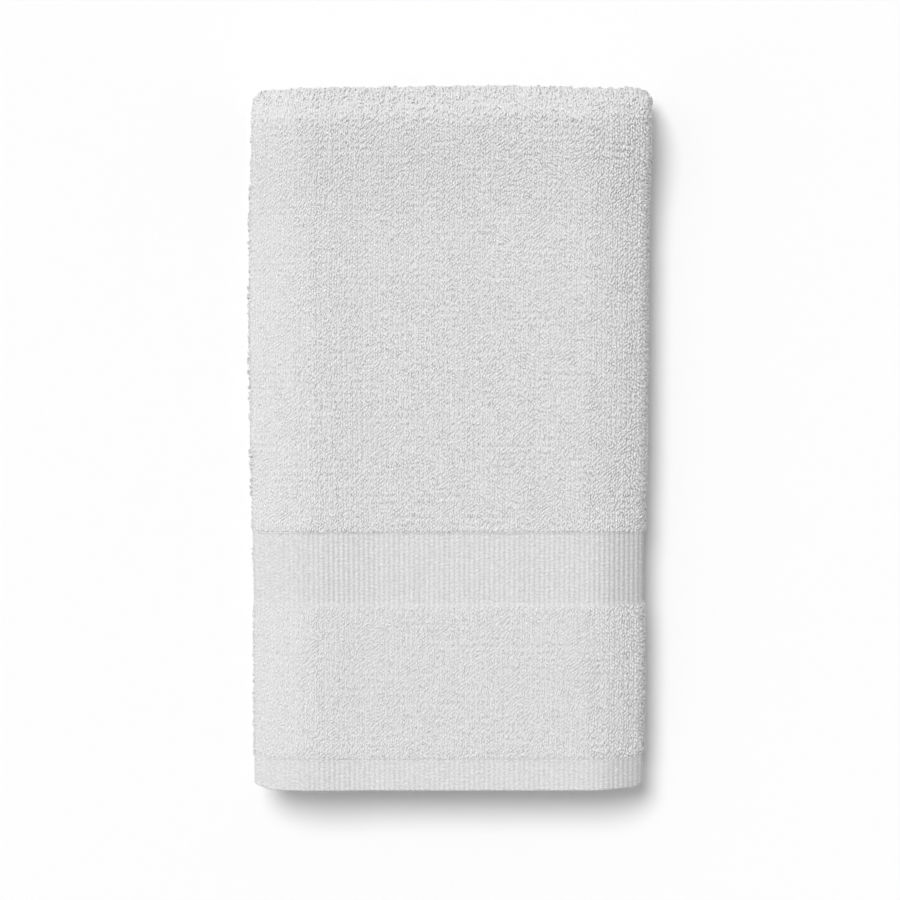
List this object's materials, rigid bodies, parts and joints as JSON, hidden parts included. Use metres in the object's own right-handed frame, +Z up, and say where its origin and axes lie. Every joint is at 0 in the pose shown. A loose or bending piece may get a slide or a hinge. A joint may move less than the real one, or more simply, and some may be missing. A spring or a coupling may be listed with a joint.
{
  "type": "folded hand towel",
  "caption": "White terry hand towel with flat woven borders and sewn hems, folded in thirds both ways into a flat oblong bundle that lies on a shelf or counter",
  "frame": {"origin": "centre of the towel's base, on the surface it lies on", "axes": "+Z up out of the showing face, +Y from the showing hem to the top fold, +X to the right of the showing face"},
  "size_m": [0.1396, 0.2432, 0.0327],
  "materials": {
    "terry_cotton": "matt white cotton loops, flat ribbed borders"
  },
  "bodies": {
    "root": {"towel": "terry_cotton"}
  },
  "joints": []
}
